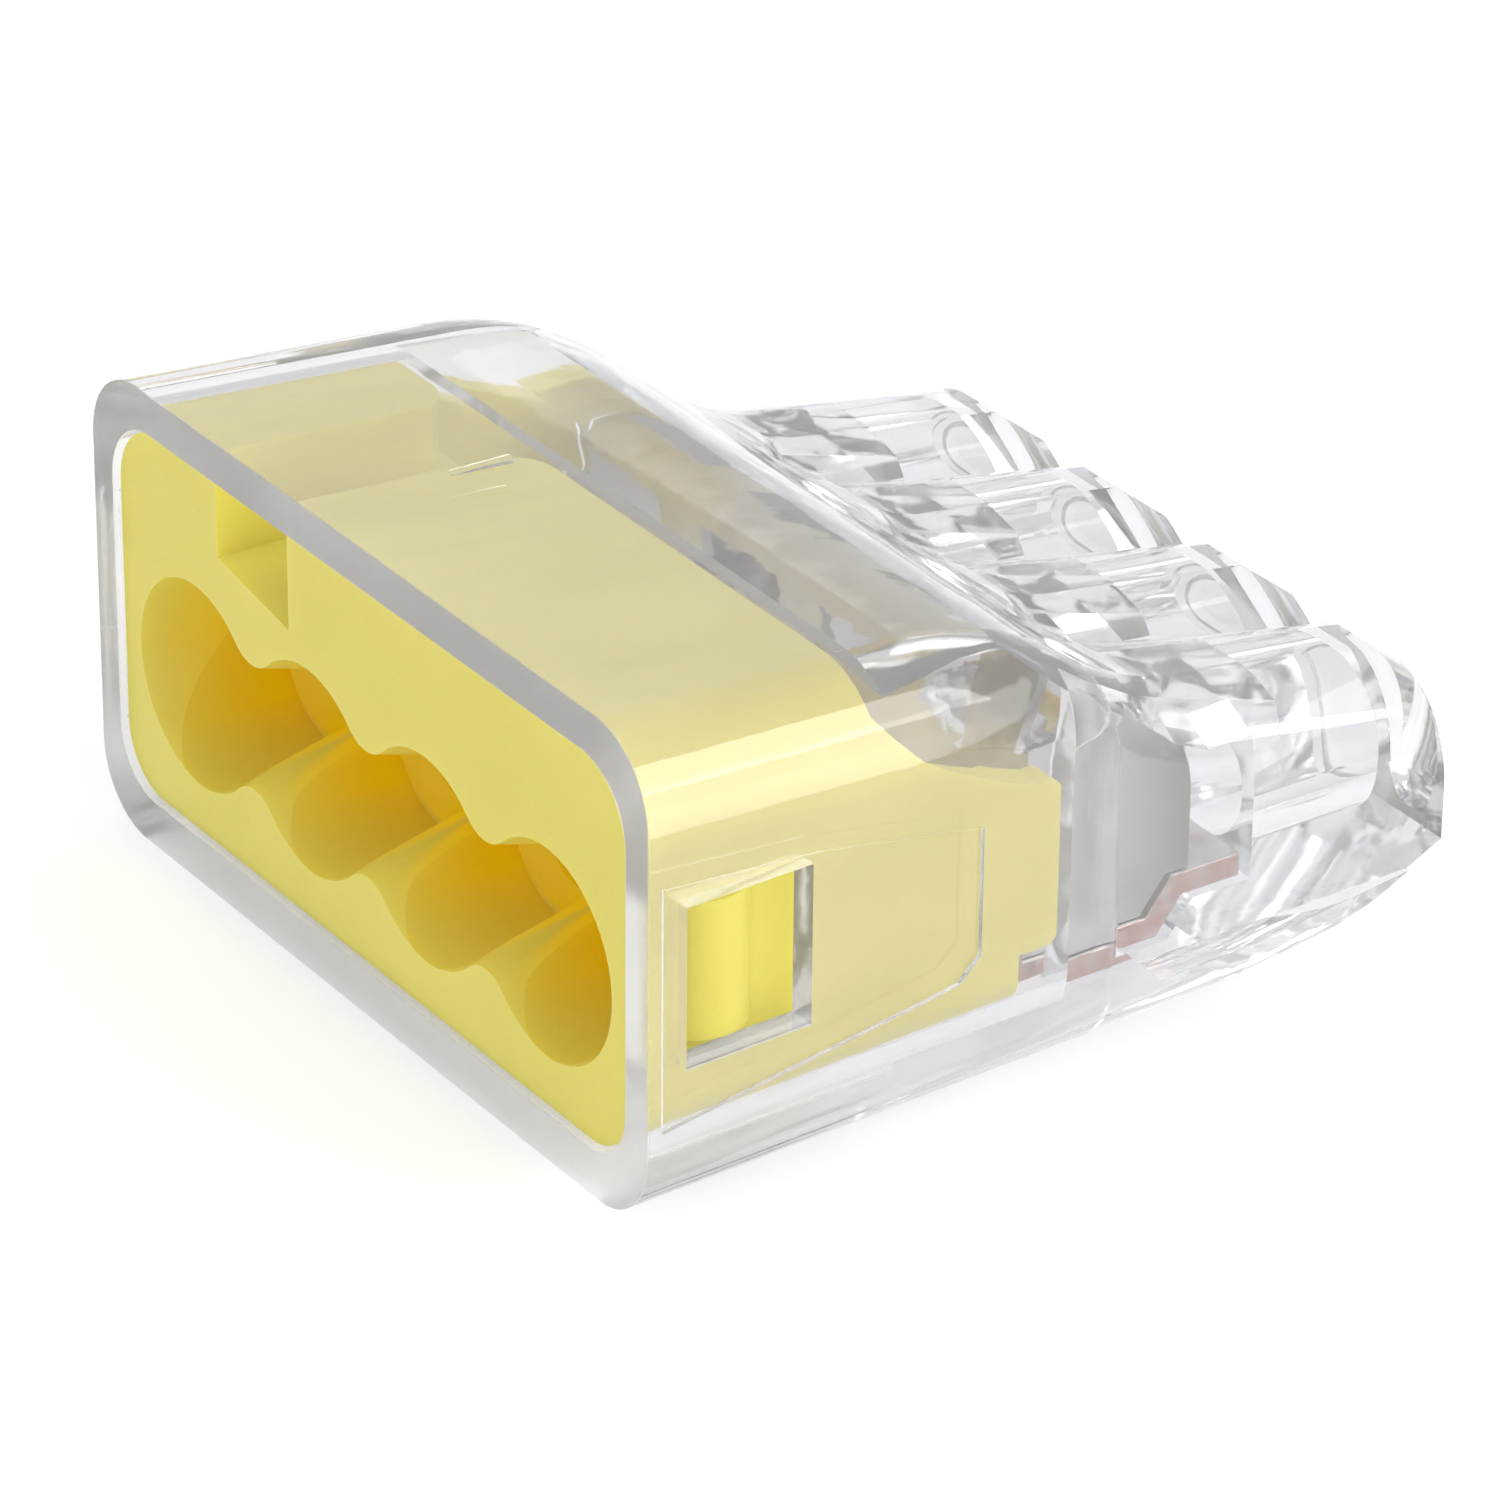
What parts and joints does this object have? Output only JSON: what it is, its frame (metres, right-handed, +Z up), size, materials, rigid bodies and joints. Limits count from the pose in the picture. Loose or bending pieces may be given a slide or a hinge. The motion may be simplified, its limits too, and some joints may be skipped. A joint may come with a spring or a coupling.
{
  "type": "push-in wire connector",
  "caption": "Clear push-in wire connector with a yellow wire entry face, a row of round wire mouths, ribbed conductor tubes and a sprung metal clamp inside.",
  "frame": {"origin": "middle of the footprint, on the flat underside", "axes": "+Y is the way a wire is pushed in, so the mouths face -Y; +X runs across the mouths; +Z is up"},
  "size_m": [0.0198, 0.0202, 0.0101],
  "materials": {
    "clear_plastic": "polished clear polycarbonate",
    "yellow_plastic": "semi-gloss moulded, slightly translucent",
    "tinned_copper": "thin bright tin over copper",
    "spring_steel": "bright rolled stainless"
  },
  "bodies": {
    "body": {"clear_housing": "clear_plastic", "wire_entry_insert": "yellow_plastic", "busbar": "tinned_copper", "spring_frame": "spring_steel"},
    "finger_1": {"spring_finger_1": "spring_steel"},
    "finger_2": {"spring_finger_2": "spring_steel"},
    "finger_3": {"spring_finger_3": "spring_steel"},
    "finger_4": {"spring_finger_4": "spring_steel"}
  },
  "joints": [
    {"name": "finger_1_flex", "type": "hinge", "parent": "body", "child": "finger_1", "pos_m": [-0.0063, 0.00057, 0.00704], "axis": [1, 0, 0], "range_deg": [0, 28], "stiffness_Nm_per_rad": 0.25},
    {"name": "finger_2_flex", "type": "hinge", "parent": "body", "child": "finger_2", "pos_m": [-0.0021, 0.00057, 0.00704], "axis": [1, 0, 0], "range_deg": [0, 28], "stiffness_Nm_per_rad": 0.25},
    {"name": "finger_3_flex", "type": "hinge", "parent": "body", "child": "finger_3", "pos_m": [0.0021, 0.00057, 0.00704], "axis": [1, 0, 0], "range_deg": [0, 28], "stiffness_Nm_per_rad": 0.25},
    {"name": "finger_4_flex", "type": "hinge", "parent": "body", "child": "finger_4", "pos_m": [0.0063, 0.00057, 0.00704], "axis": [1, 0, 0], "range_deg": [0, 28], "stiffness_Nm_per_rad": 0.25}
  ]
}
